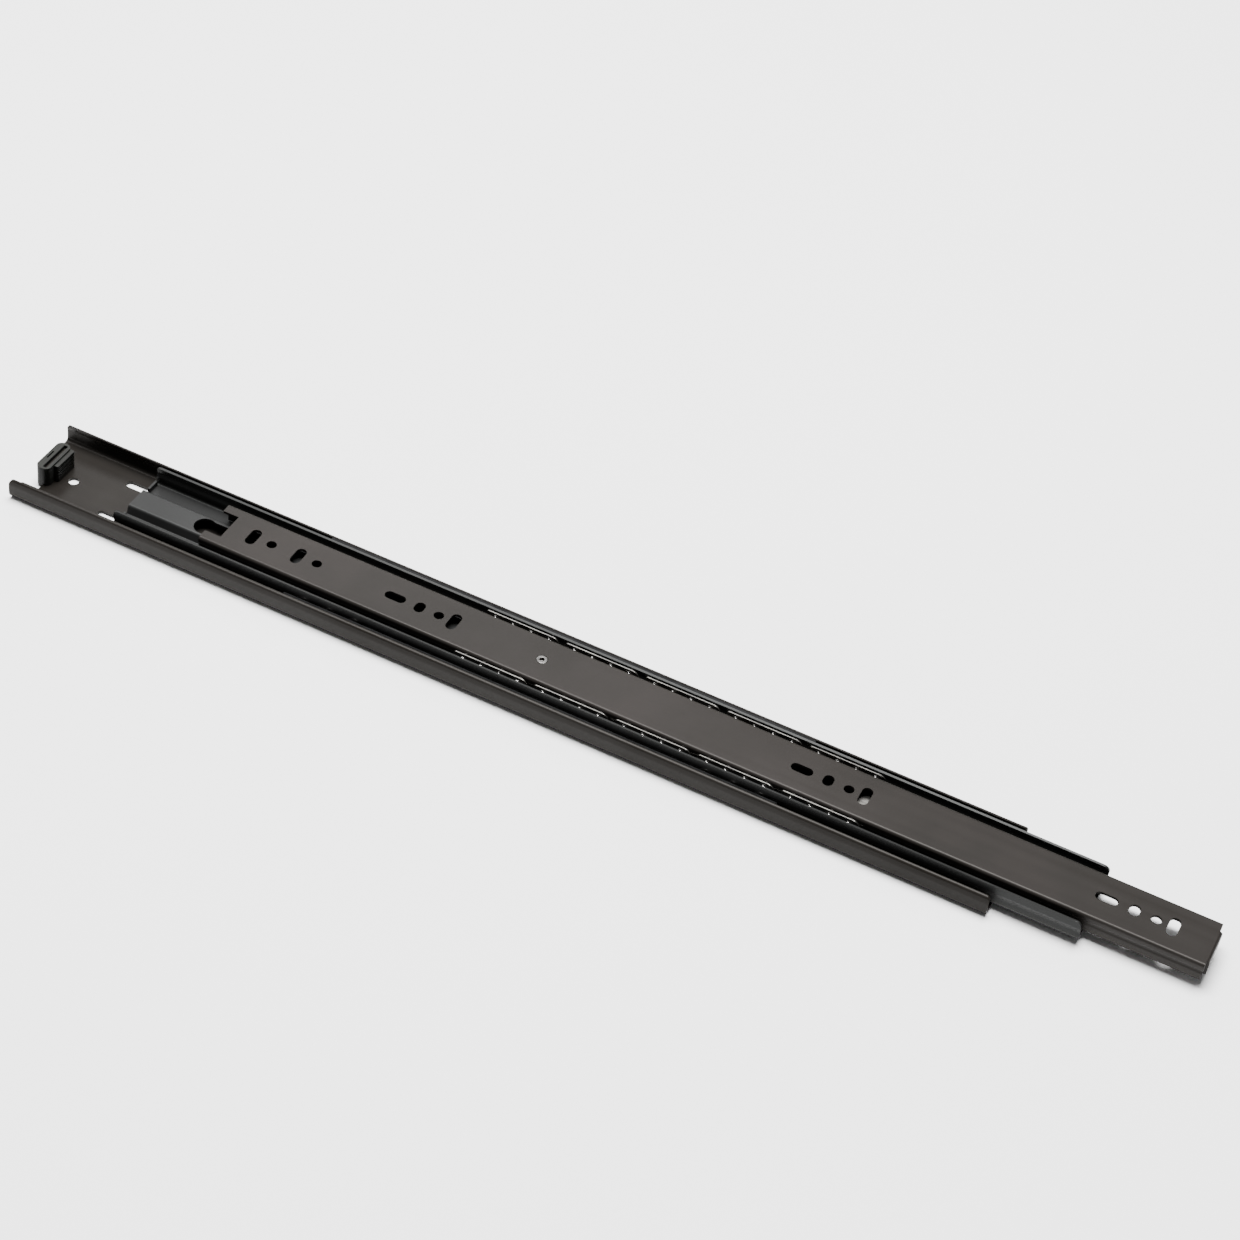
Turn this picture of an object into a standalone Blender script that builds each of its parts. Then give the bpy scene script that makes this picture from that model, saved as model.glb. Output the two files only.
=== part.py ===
"""Side-mounted ball-bearing drawer slide: three nested steel channels, two ball retainers, balls,
a rear bumper and a release lever. Metres; +X rear to front, +Y across, +Z away from the cabinet."""
import math

import bmesh
import bpy
from mathutils import Matrix, Vector

MM = 0.001

# Overall sizes
SLIDE_LENGTH = 450 * MM
OUTER_WIDTH = 45.5 * MM
SLIDE_DEPTH = 12.7 * MM
OUTER_HEIGHT = 10.2 * MM

# Sheet steels and the balls between them
OUTER_STEEL = 1.2 * MM
MIDDLE_STEEL = 1.0 * MM
INNER_STEEL = 1.2 * MM
RETAINER_STEEL = 0.5 * MM
BALL_DIAMETER = 4.0 * MM
FREE_GAP = 0.3 * MM

# Where the two moving channels stand in the rest pose, measured from the rear end of the outer one
MIDDLE_REAR = 49 * MM
MIDDLE_SHORTFALL = 13 * MM
INNER_REAR = 87.7 * MM
INNER_SHORTFALL = 3.7 * MM

# Heights of the two ball rows above the cabinet face
OUTER_BALL_HEIGHT = 7.0 * MM
INNER_BALL_HEIGHT = 8.8 * MM

# Outer channel
OUTER_CORNER = 2.4 * MM
OUTER_SHOULDER_HEIGHT = 7.4 * MM
OUTER_SHOULDER_LEAN = 0.6 * MM
OUTER_SHOULDER_RADIUS = 4 * MM
OUTER_LIP_RADIUS = 0.8 * MM
OUTER_LIP_REACH = 0.8 * MM
OUTER_LIP_DROP = 0.1 * MM
LIP_SETBACK = 6 * MM
REAR_NOTCH_DEPTH = 7.8 * MM
REAR_NOTCH_WIDTH = 33 * MM
OUTER_REAR_ROUNDING = 2.6 * MM
OUTER_FRONT_ROUNDING = 2.0 * MM
BUMPER_TAB_WIDTH = 16 * MM
BUMPER_TAB_HEIGHT = 9.4 * MM

# Middle channel
HAT_TOP = 7.2 * MM
HAT_FLAT = 11.2 * MM
HAT_SIDE = 1.4 * MM
HAT_ROUNDING = 0.9 * MM
MIDDLE_CORNER = 1.7 * MM
MIDDLE_BELLY = 0.75 * MM
MIDDLE_LIP_HEIGHT = 12.1 * MM
MIDDLE_LIP_LEAN = 0.5 * MM
MIDDLE_REAR_ROUNDING = 1.6 * MM
MIDDLE_FRONT_ROUNDING = 2.6 * MM
VIEW_HOLE_REAR = 29.4 * MM
VIEW_HOLE_RADIUS = 4.9 * MM
VIEW_HOLE_NECK = 4.3 * MM
VIEW_HOLE_LENGTH = 27 * MM
CATCH_SETBACK = 3.0 * MM
CATCH_WIDTH = 7.0 * MM
CATCH_HEIGHT = 10.8 * MM
REAR_STOP_HEIGHT = 5.6 * MM

# Inner channel
INNER_EDGE_RADIUS = 0.8 * MM
INNER_FOOT_HEIGHT = 4.5 * MM
RACE_DEPTH = 0.55 * MM
RACE_HALF_HEIGHT = 1.3 * MM
REAR_RECESS_DEPTH = 7.5 * MM
REAR_RECESS_WIDTH = 14.6 * MM
LUG_BOTTOM = 5.2 * MM
LUG_NEAR = 9.5 * MM
LUG_FAR = 7.5 * MM
LUG_REACH = 0.7 * MM
LUG_BEND = 0.8 * MM
LUG_ROOT = 3 * MM

# Screw holes
ROUND_HOLE = 4.4 * MM
OVAL_WIDTH = 4.4 * MM
OVAL_LENGTH = 6.1 * MM
CROSS_SLOT_WIDTH = 4.5 * MM
CROSS_SLOT_LENGTH = 9.8 * MM
LONG_SLOT_WIDTH = 4.4 * MM
LONG_SLOT_LENGTH = 9.5 * MM
WEB_HOLE = 4.8 * MM
WEB_SLOT_WIDTH = 3.9 * MM
WEB_SLOT_LENGTH = 14 * MM
WEB_SLOT_OFFSET = 11.4 * MM
SYSTEM_PITCH = 32 * MM
REAR_HOLE_SETBACK = 17.5 * MM
REAR_SLOT_SETBACK = 44 * MM
FRONT_HOLE_SETBACK = 37 * MM

# Drawer screw groups: setback of each group's lengthwise slot from the front end, then the steps inside it
GROUP_FRONT = 44.1 * MM
GROUP_MIDDLE = 173.8 * MM
GROUP_REAR = 359 * MM
GROUP_OVAL_STEP = 11.5 * MM
GROUP_ROUND_STEP = 20.5 * MM
GROUP_CROSS_STEP = 27.5 * MM
PAIR_REAR = 427.2 * MM
PAIR_STEP = 21.8 * MM
PAIR_ROUND_STEP = 8.9 * MM

# Inner ball retainer
TAB_COUNT = 5
BALLS_PER_TAB = 4
TAB_PITCH = 36.8 * MM
TAB_GAP = 3.0 * MM
TAB_TOP = 12.4 * MM
TAB_FRONT_ROUNDING = 2.8 * MM
TAB_REAR_ROUNDING = 1.0 * MM
TAB_FOOT = 5.4 * MM
BALL_PITCH = 8.35 * MM
FIRST_BALL = 4.2 * MM
INNER_RETAINER_REAR = 210.4 * MM
RETAINER_CORNER = 1.0 * MM
CROSS_BAND = 6.3 * MM
RETAINER_WINDOW_WIDTH = 17 * MM
RETAINER_WINDOW_CORNER = 2 * MM

# Outer ball retainer
OUTER_RETAINER_REAR = 133.5 * MM
OUTER_RETAINER_LENGTH = 224.7 * MM
OUTER_RETAINER_TOP = 10.2 * MM
RETAINER_FLARE_BEND = 0.5 * MM
OUTER_BALLS_PER_CLUSTER = 3
OUTER_BALL_PITCH = 12 * MM
OUTER_BALL_END = 8 * MM

# Retainer end stops pressed up from the webs
STOP_RADIUS = 1.5 * MM
STOP_SETBACK = 3.5 * MM
OUTER_STOP_OFFSET = 8 * MM
MIDDLE_STOP_OFFSET = 10 * MM

# Rubber bumper
BUMPER_WIDTH = 19 * MM
BUMPER_LENGTH = 8.4 * MM
BUMPER_CORNER = 2.55 * MM
BUMPER_HEIGHT = 10.8 * MM
BUMPER_RIB = 0.6 * MM
BUMPER_RIB_PITCH = 2.0 * MM
BUMPER_RIB_COUNT = 3
BUMPER_FRONT_SHARE = 0.58
PAD_THICKNESS = 1.9 * MM
PAD_DROP = 0.9 * MM
PAD_NEAR = 4.5 * MM
PAD_FAR = 8.4 * MM
RELIEF_SLOT = 0.7 * MM
RELIEF_LENGTH = 5 * MM
RELIEF_DEPTH = 2 * MM

# Release lever and its rivet
PIVOT_SETBACK = 290.5 * MM
LEVER_THICKNESS = 2.4 * MM
LEVER_BOSS_RADIUS = 5.0 * MM
LEVER_ARM = 60 * MM
LEVER_TAIL = 14 * MM
LEVER_ARM_HALF = 3.0 * MM
LEVER_NOSE_HALF = 2.6 * MM
LEVER_ROUNDING = 1.2 * MM
RIVET_SHANK_RADIUS = 1.5 * MM
RIVET_HEAD_RADIUS = 2.3 * MM
RIVET_HEAD_THICKNESS = 0.5 * MM
RIVET_CUP_RADIUS = 1.1 * MM
RIVET_CUP_DEPTH = 1.6 * MM
PIVOT_GAP = 0.2 * MM

# Facet fineness
DEGREES_PER_FACET = 15
ROUND_FACETS = 24
BALL_HOLE_FACETS = 16
STOP_FACETS = 12
OVERCUT = 1.0 * MM
WELD = 0.00001

# Each local axis of a flat outline and where it points once the outline is pulled along X, Y or Z
PULL_TURN = {
    "X": Matrix(((0, 0, 1), (1, 0, 0), (0, 1, 0))),
    "Y": Matrix(((1, 0, 0), (0, 0, -1), (0, 1, 0))),
    "Z": Matrix.Identity(3),
}

# Colours, roughness and metalness of each finish
BLACK_COAT = ((0.045, 0.044, 0.043, 1), 0.42, 0.0)
GREY_COAT = ((0.055, 0.056, 0.057, 1), 0.42, 0.0)
BROWN_COAT = ((0.060, 0.055, 0.052, 1), 0.40, 0.0)
DARK_ZINC = ((0.075, 0.075, 0.078, 1), 0.40, 0.6)
BRIGHT_ZINC = ((0.62, 0.60, 0.57, 1), 0.30, 1.0)
BALL_STEEL = ((0.72, 0.71, 0.70, 1), 0.12, 1.0)
BLACK_RUBBER = ((0.030, 0.031, 0.028, 1), 0.70, 0.0)
BLACK_PLASTIC = ((0.020, 0.020, 0.022, 1), 0.50, 0.0)
RIVET_STEEL = ((0.60, 0.59, 0.57, 1), 0.25, 1.0)


# ---------------------------------------------------------------- sheet sections

def corner_arc(before, corner, after, radius):
    """Points of a fillet that rounds one corner of a bent strip."""
    to_before = (before - corner).normalized()
    to_after = (after - corner).normalized()
    half_angle = to_before.angle(to_after) / 2
    reach = radius / math.tan(half_angle)
    middle = corner + (to_before + to_after).normalized() * (radius / math.sin(half_angle))
    start = corner + to_before * reach - middle
    turn = math.pi - 2 * half_angle
    if to_before.x * to_after.y - to_before.y * to_after.x > 0:
        turn = -turn
    count = max(2, math.ceil(abs(math.degrees(turn)) / DEGREES_PER_FACET))
    return [middle + Matrix.Rotation(turn * step / count, 2) @ start for step in range(count + 1)]


def bent_path(corners):
    """The middle line of a bent strip, from (across, height, fillet radius) corners."""
    points = [Vector(corner[:2]) for corner in corners]
    path = [points[0]]
    for index in range(1, len(corners) - 1):
        radius = corners[index][2]
        path += corner_arc(points[index - 1], points[index], points[index + 1], radius)
    return path + [points[-1]]


def both_sides(half):
    """A whole channel's middle line from its +Y half, which starts on the centre line."""
    mirrored = [Vector((-point.x, point.y)) for point in reversed(half[1:])]
    return mirrored + half[1:]


def side_normals(path):
    normals = []
    for index, point in enumerate(path):
        ahead = path[min(index + 1, len(path) - 1)]
        behind = path[max(index - 1, 0)]
        incoming = (point - behind).normalized() if index else (ahead - point).normalized()
        outgoing = (ahead - point).normalized() if index < len(path) - 1 else incoming
        along = (incoming + outgoing).normalized()
        stretch = 1 / max(along.dot(incoming), 0.5)
        normals.append(Vector((-along.y, along.x)) * stretch)
    return normals


def sheet_outline(path, thickness):
    """Closed outline of a strip of even thickness along its middle line."""
    normals = side_normals(path)
    left = [point + normal * thickness / 2 for point, normal in zip(path, normals)]
    right = [point - normal * thickness / 2 for point, normal in zip(path, normals)]
    return left + right[::-1]


# ---------------------------------------------------------------- flat outlines

def circle_outline(radius, centre=(0, 0), facets=ROUND_FACETS):
    step = 2 * math.pi / facets
    return [
        Vector((centre[0] + radius * math.cos(step * i), centre[1] + radius * math.sin(step * i)))
        for i in range(facets)
    ]


def rounded_outline(corners):
    """Closed outline from (x, y, fillet radius) corners; a radius of nothing stays sharp."""
    points = [Vector(corner[:2]) for corner in corners]
    outline = []
    for index, corner in enumerate(corners):
        if corner[2] > 0:
            following = points[(index + 1) % len(points)]
            outline += corner_arc(points[index - 1], points[index], following, corner[2])
        else:
            outline.append(points[index])
    return outline


def box_outline(low, high, radius=0.0):
    return rounded_outline([
        (low[0], low[1], radius),
        (high[0], low[1], radius),
        (high[0], high[1], radius),
        (low[0], high[1], radius),
    ])


def slot_outline(centre, length, width, across):
    """A round-ended slot along X, or along Y when across is true."""
    reach = (length - width) / 2
    half = ROUND_FACETS // 2
    outline = []
    for side in (1, -1):
        for index in range(half + 1):
            angle = side * math.pi / 2 - math.pi * index / half
            along = side * reach + width / 2 * math.cos(angle)
            aside = width / 2 * math.sin(angle)
            step = (aside, along) if across else (along, aside)
            outline.append(Vector((centre[0] + step[0], centre[1] + step[1])))
    return outline


# ---------------------------------------------------------------- solids

def pulled_mesh(name, outline, start, end, direction, hole=()):
    """A solid from a flat outline, with or without a hole, pulled between two stations along X, Y or Z."""
    curve = bpy.data.curves.new(name, "CURVE")
    curve.dimensions = "2D"
    curve.fill_mode = "BOTH"
    curve.extrude = abs(end - start) / 2
    for loop in filter(None, (outline, hole)):
        spline = curve.splines.new("POLY")
        spline.points.add(len(loop) - 1)
        for point, place in zip(spline.points, loop):
            point.co = (place.x, place.y, 0, 1)
        spline.use_cyclic_u = True
    shape = bpy.data.objects.new(name, curve)
    bpy.context.scene.collection.objects.link(shape)
    graph = bpy.context.evaluated_depsgraph_get()
    graph.update()
    mesh = bpy.data.meshes.new_from_object(shape.evaluated_get(graph))
    bpy.data.objects.remove(shape)
    bpy.data.curves.remove(curve)
    turn = PULL_TURN[direction]
    middle = turn @ Vector((0, 0, (start + end) / 2 * (-1 if direction == "Y" else 1)))
    mesh.transform(Matrix.Translation(middle) @ turn.to_4x4())
    tidy_mesh(mesh)
    return mesh


def tidy_mesh(mesh):
    work = bmesh.new()
    work.from_mesh(mesh)
    bmesh.ops.remove_doubles(work, verts=work.verts, dist=WELD)
    bmesh.ops.recalc_face_normals(work, faces=work.faces)
    work.to_mesh(mesh)
    work.free()


def merged_mesh(name, meshes):
    """Several loose solids in one mesh, for one cutter or one added group."""
    work = bmesh.new()
    for mesh in meshes:
        work.from_mesh(mesh)
    merged = bpy.data.meshes.new(name)
    work.to_mesh(merged)
    work.free()
    for mesh in meshes:
        bpy.data.meshes.remove(mesh)
    return merged


def placed(name, mesh, location, collection):
    piece = bpy.data.objects.new(name, mesh)
    piece.location = location
    collection.objects.link(piece)
    return piece


def boolean(piece, tool, operation):
    modifier = piece.modifiers.new(tool.name, "BOOLEAN")
    modifier.operation = operation
    modifier.solver = "EXACT"
    modifier.object = tool
    tool.hide_render = True
    tool.display_type = "WIRE"
    tool.parent = piece
    tool.matrix_parent_inverse = piece.matrix_basis.inverted()


def cut(piece, name, meshes, collection):
    tool = placed(name, merged_mesh(name, meshes), (0, 0, 0), collection)
    boolean(piece, tool, "DIFFERENCE")


def add(piece, name, meshes, collection):
    tool = placed(name, merged_mesh(name, meshes), (0, 0, 0), collection)
    boolean(piece, tool, "UNION")


def finish(piece, finish_values):
    colour, roughness, metalness = finish_values
    material = bpy.data.materials.new(piece.name + "_finish")
    material.use_nodes = True
    shader = material.node_tree.nodes["Principled BSDF"]
    shader.inputs["Base Color"].default_value = colour
    shader.inputs["Roughness"].default_value = roughness
    shader.inputs["Metallic"].default_value = metalness
    material.diffuse_color = colour
    piece.data.materials.clear()
    piece.data.materials.append(material)


def smooth(piece):
    piece.data.shade_smooth()
    piece.data.set_sharp_from_angle(angle=math.radians(35))


# ---------------------------------------------------------------- stations and ball rows

REAR_END = -SLIDE_LENGTH / 2
FRONT_END = SLIDE_LENGTH / 2
MIDDLE_START = REAR_END + MIDDLE_REAR
MIDDLE_END = MIDDLE_START + SLIDE_LENGTH - MIDDLE_SHORTFALL
INNER_START = REAR_END + INNER_REAR
INNER_END = INNER_START + SLIDE_LENGTH - INNER_SHORTFALL
INNER_RETAINER_START = REAR_END + INNER_RETAINER_REAR
INNER_RETAINER_END = INNER_RETAINER_START + TAB_COUNT * TAB_PITCH - TAB_GAP
OUTER_RETAINER_START = REAR_END + OUTER_RETAINER_REAR
OUTER_RETAINER_END = OUTER_RETAINER_START + OUTER_RETAINER_LENGTH
PIVOT = Vector((INNER_END - PIVOT_SETBACK, 0, SLIDE_DEPTH))

BALL_RADIUS = BALL_DIAMETER / 2
OUTER_WALL = OUTER_WIDTH / 2 - OUTER_STEEL / 2
OUTER_LIP = OUTER_WALL - OUTER_SHOULDER_LEAN
OUTER_BALL_ACROSS = OUTER_WIDTH / 2 - OUTER_STEEL - FREE_GAP - BALL_RADIUS
MIDDLE_WAIST = OUTER_BALL_ACROSS - BALL_RADIUS - FREE_GAP - MIDDLE_STEEL / 2
MIDDLE_WALL = MIDDLE_WAIST + MIDDLE_BELLY
INNER_BALL_ACROSS = MIDDLE_WALL - MIDDLE_STEEL / 2 - 2 * FREE_GAP - BALL_RADIUS + MIDDLE_LIP_LEAN / 2
INNER_WALL = INNER_BALL_ACROSS - BALL_RADIUS - FREE_GAP + RACE_DEPTH - INNER_STEEL / 2
MIDDLE_WEB = OUTER_STEEL + 2 * FREE_GAP + RETAINER_STEEL + MIDDLE_STEEL / 2
VALLEY_START = HAT_FLAT / 2 + HAT_SIDE
RETAINER_HOLE = BALL_RADIUS + FREE_GAP


def inner_ball_stations():
    return [
        INNER_RETAINER_START + tab * TAB_PITCH + FIRST_BALL + ball * BALL_PITCH
        for tab in range(TAB_COUNT)
        for ball in range(BALLS_PER_TAB)
    ]


def outer_ball_stations():
    steps = [OUTER_BALL_END + ball * OUTER_BALL_PITCH for ball in range(OUTER_BALLS_PER_CLUSTER)]
    rear = [OUTER_RETAINER_START + step for step in steps]
    front = [OUTER_RETAINER_END - step for step in reversed(steps)]
    return rear + front


# ---------------------------------------------------------------- outer channel

def outer_section():
    web = OUTER_STEEL / 2
    lip = OUTER_HEIGHT - OUTER_STEEL / 2
    half = bent_path([
        (0, web, 0),
        (OUTER_WALL, web, OUTER_CORNER),
        (OUTER_WALL, OUTER_SHOULDER_HEIGHT, OUTER_SHOULDER_RADIUS),
        (OUTER_LIP, lip, OUTER_LIP_RADIUS),
        (OUTER_LIP - OUTER_LIP_REACH, lip - OUTER_LIP_DROP, 0),
    ])
    return sheet_outline(both_sides(half), OUTER_STEEL)


def lip_relief():
    """The turned-in lips start a little way in from the rear end; the walls run on."""
    inside = OUTER_LIP - OUTER_STEEL / 4
    plan = box_outline((REAR_END - 4 * OVERCUT, -inside), (REAR_END + LIP_SETBACK, inside), OVERCUT)
    return pulled_mesh("lip_relief", plan, OUTER_HEIGHT / 2, OUTER_HEIGHT + OVERCUT, "Z")


def end_rounding(name, station, towards, top, radius, depth):
    """Removes the sharp top corner at a channel's end, across both flanges."""
    inward = station + towards * radius
    outside = station - towards * OVERCUT
    corners = [
        (outside, top - radius - depth, 0),
        (station, top - radius - depth, 0),
        (station, top, radius),
        (inward + towards * depth, top, 0),
        (inward + towards * depth, top + OVERCUT, 0),
        (outside, top + OVERCUT, 0),
    ]
    return pulled_mesh(name, rounded_outline(corners), -OUTER_WIDTH, OUTER_WIDTH, "Y")


def web_hole_outlines():
    rear_round = REAR_END + REAR_HOLE_SETBACK
    rear_slot = REAR_END + REAR_SLOT_SETBACK
    front_round = FRONT_END - FRONT_HOLE_SETBACK
    outlines = [circle_outline(WEB_HOLE / 2, (station, 0)) for station in (
        rear_round, front_round, front_round - SYSTEM_PITCH, front_round - 7 * SYSTEM_PITCH)]
    for side in (-1, 1):
        offset = side * WEB_SLOT_OFFSET
        for station in (rear_slot, front_round - SYSTEM_PITCH / 2):
            outlines.append(slot_outline((station, offset), WEB_SLOT_LENGTH, WEB_SLOT_WIDTH, False))
    return outlines


def build_outer_member(parts, cutters):
    mesh = pulled_mesh("outer_member", outer_section(), REAR_END, FRONT_END, "X")
    piece = placed("outer_member", mesh, (0, 0, 0), parts)
    notch_front = REAR_END + REAR_NOTCH_DEPTH
    notch = box_outline((REAR_END - OVERCUT, -REAR_NOTCH_WIDTH / 2), (notch_front, REAR_NOTCH_WIDTH / 2))
    openings = web_hole_outlines() + [notch]
    holes = [pulled_mesh("hole", outline, -OVERCUT, OUTER_STEEL + OVERCUT, "Z") for outline in openings]
    cut(piece, "outer_web_cutter", holes, cutters)
    ends = [
        end_rounding("rear", REAR_END, 1, OUTER_HEIGHT, OUTER_REAR_ROUNDING, FREE_GAP),
        end_rounding("front", FRONT_END, -1, OUTER_HEIGHT, OUTER_FRONT_ROUNDING, FREE_GAP),
    ]
    cut(piece, "outer_lip_cutter", [lip_relief()], cutters)
    cut(piece, "outer_end_cutter", ends, cutters)
    tab = box_outline((notch_front, OUTER_STEEL / 2), (notch_front + OUTER_STEEL, BUMPER_TAB_HEIGHT))
    raised = [pulled_mesh("tab", tab, -BUMPER_TAB_WIDTH / 2, BUMPER_TAB_WIDTH / 2, "Y")]
    for offset in (-OUTER_STOP_OFFSET, OUTER_STOP_OFFSET):
        stop = circle_outline(STOP_RADIUS, (FRONT_END - STOP_SETBACK, offset), STOP_FACETS)
        top = OUTER_STEEL + FREE_GAP + RETAINER_STEEL
        raised.append(pulled_mesh("stop", stop, OUTER_STEEL / 2, top, "Z"))
    add(piece, "outer_pressed_up", raised, cutters)
    finish(piece, BLACK_COAT)
    smooth(piece)
    return piece


# ---------------------------------------------------------------- middle channel

def middle_section():
    hat = HAT_TOP - MIDDLE_STEEL / 2
    half = bent_path([
        (0, hat, 0),
        (HAT_FLAT / 2, hat, HAT_ROUNDING),
        (VALLEY_START, MIDDLE_WEB, HAT_ROUNDING),
        (MIDDLE_WALL + MIDDLE_STEEL / 4, MIDDLE_WEB, MIDDLE_CORNER),
        (MIDDLE_WAIST, OUTER_BALL_HEIGHT, BALL_RADIUS),
        (MIDDLE_WALL, INNER_BALL_HEIGHT + MIDDLE_STEEL / 2, MIDDLE_STEEL),
        (MIDDLE_WALL - MIDDLE_LIP_LEAN, MIDDLE_LIP_HEIGHT, 0),
    ])
    return sheet_outline(both_sides(half), MIDDLE_STEEL)


def view_hole():
    centre = MIDDLE_START + VIEW_HOLE_REAR + VIEW_HOLE_RADIUS
    lobe = circle_outline(VIEW_HOLE_RADIUS, (centre, 0))
    end = centre + VIEW_HOLE_LENGTH
    neck = box_outline((centre, -VIEW_HOLE_NECK), (end, VIEW_HOLE_NECK), VIEW_HOLE_NECK / 2)
    low = MIDDLE_WEB - MIDDLE_STEEL
    high = HAT_TOP + OVERCUT
    return [pulled_mesh("lobe", lobe, low, high, "Z")], [pulled_mesh("neck", neck, low, high, "Z")]


def build_middle_member(parts, cutters):
    mesh = pulled_mesh("intermediate_member", middle_section(), MIDDLE_START, MIDDLE_END, "X")
    piece = placed("intermediate_member", mesh, (0, 0, 0), parts)
    lobe, neck = view_hole()
    ends = [
        end_rounding("rear", MIDDLE_START, 1, MIDDLE_LIP_HEIGHT, MIDDLE_REAR_ROUNDING, FREE_GAP),
        end_rounding("front", MIDDLE_END, -1, MIDDLE_LIP_HEIGHT, MIDDLE_FRONT_ROUNDING, FREE_GAP),
    ]
    front_access = circle_outline(VIEW_HOLE_RADIUS, (FRONT_END - FRONT_HOLE_SETBACK, 0))
    access = pulled_mesh("access", front_access, MIDDLE_WEB - MIDDLE_STEEL, HAT_TOP + OVERCUT, "Z")
    cut(piece, "middle_lobe_cutter", lobe + [access], cutters)
    cut(piece, "middle_neck_cutter", neck, cutters)
    cut(piece, "middle_end_cutter", ends, cutters)
    add(piece, "middle_pressed_up", middle_raised_features(), cutters)
    finish(piece, GREY_COAT)
    smooth(piece)
    return piece


def middle_raised_features():
    """The release catch on the hat, the rear stops in the valleys and the inner retainer's end stops."""
    catch_front = MIDDLE_END - CATCH_SETBACK
    catch_rear = catch_front - MIDDLE_STEEL
    catch = box_outline((catch_rear, HAT_TOP - MIDDLE_STEEL / 2), (catch_front, CATCH_HEIGHT))
    features = [pulled_mesh("catch", catch, -CATCH_WIDTH / 2, CATCH_WIDTH / 2, "Y")]
    stop = box_outline((MIDDLE_START, MIDDLE_WEB), (MIDDLE_START + MIDDLE_STEEL, REAR_STOP_HEIGHT))
    low = VALLEY_START + 2 * MIDDLE_STEEL
    high = MIDDLE_WALL - 2 * MIDDLE_STEEL
    top = MIDDLE_WEB + MIDDLE_STEEL / 2 + FREE_GAP + RETAINER_STEEL
    for side in (-1, 1):
        features.append(pulled_mesh("rear_stop", stop, side * low, side * high, "Y"))
        centre = (MIDDLE_END - STOP_SETBACK, side * MIDDLE_STOP_OFFSET)
        dot = circle_outline(STOP_RADIUS, centre, STOP_FACETS)
        features.append(pulled_mesh("dot", dot, MIDDLE_WEB, top, "Z"))
    return features


# ---------------------------------------------------------------- inner channel

def inner_section():
    web = SLIDE_DEPTH - INNER_STEEL / 2
    race = INNER_WALL - RACE_DEPTH
    half = bent_path([
        (0, web, 0),
        (INNER_WALL, web, INNER_EDGE_RADIUS),
        (INNER_WALL, INNER_BALL_HEIGHT + RACE_HALF_HEIGHT, INNER_STEEL),
        (race, INNER_BALL_HEIGHT, BALL_RADIUS),
        (INNER_WALL, INNER_BALL_HEIGHT - RACE_HALF_HEIGHT, INNER_STEEL),
        (INNER_WALL, INNER_FOOT_HEIGHT, 0),
    ])
    return sheet_outline(both_sides(half), INNER_STEEL)


def drawer_hole_outlines():
    outlines = []
    for setback in (GROUP_FRONT, GROUP_MIDDLE, GROUP_REAR):
        start = INNER_END - setback
        cross = start + GROUP_CROSS_STEP
        outlines.append(slot_outline((start, 0), LONG_SLOT_LENGTH, LONG_SLOT_WIDTH, False))
        outlines.append(slot_outline((start + GROUP_OVAL_STEP, 0), OVAL_LENGTH, OVAL_WIDTH, True))
        outlines.append(circle_outline(ROUND_HOLE / 2, (start + GROUP_ROUND_STEP, 0)))
        outlines.append(slot_outline((cross, 0), CROSS_SLOT_LENGTH, CROSS_SLOT_WIDTH, True))
    for step in (0, PAIR_STEP):
        start = INNER_END - PAIR_REAR + step
        outlines.append(slot_outline((start, 0), CROSS_SLOT_LENGTH, CROSS_SLOT_WIDTH, True))
        outlines.append(circle_outline(ROUND_HOLE / 2, (start + PAIR_ROUND_STEP, 0)))
    return outlines


def build_inner_member(parts, cutters):
    mesh = pulled_mesh("inner_member", inner_section(), INNER_START, INNER_END, "X")
    piece = placed("inner_member", mesh, (0, 0, 0), parts)
    below = SLIDE_DEPTH - INNER_STEEL - OVERCUT
    above = SLIDE_DEPTH + OVERCUT
    holes = [pulled_mesh("hole", outline, below, above, "Z") for outline in drawer_hole_outlines()]
    shank = circle_outline(RIVET_SHANK_RADIUS + PIVOT_GAP, PIVOT.xy)
    holes.append(pulled_mesh("shank", shank, below, above, "Z"))
    recess = box_outline(
        (INNER_START - OVERCUT, -REAR_RECESS_WIDTH / 2),
        (INNER_START + REAR_RECESS_DEPTH, REAR_RECESS_WIDTH / 2))
    holes.append(pulled_mesh("recess", recess, below, above, "Z"))
    cut(piece, "inner_web_cutter", holes, cutters)
    seat = circle_outline(RIVET_HEAD_RADIUS + PIVOT_GAP, PIVOT.xy)
    seat_floor = SLIDE_DEPTH - RIVET_HEAD_THICKNESS - PIVOT_GAP
    cut(piece, "rivet_seat_cutter", [pulled_mesh("seat", seat, seat_floor, above, "Z")], cutters)
    add(piece, "front_lug", [front_lug()], cutters)
    finish(piece, BROWN_COAT)
    smooth(piece)
    return piece


def front_lug():
    """The web's front edge turned down as a lug, narrower than the web."""
    web = SLIDE_DEPTH - INNER_STEEL / 2
    face = INNER_END + LUG_REACH
    path = bent_path([(INNER_END - LUG_ROOT, web, 0), (face, web, LUG_BEND), (face, LUG_BOTTOM, 0)])
    return pulled_mesh("lug", sheet_outline(path, INNER_STEEL), -LUG_NEAR, LUG_FAR, "Y")


# ---------------------------------------------------------------- ball retainers

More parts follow.
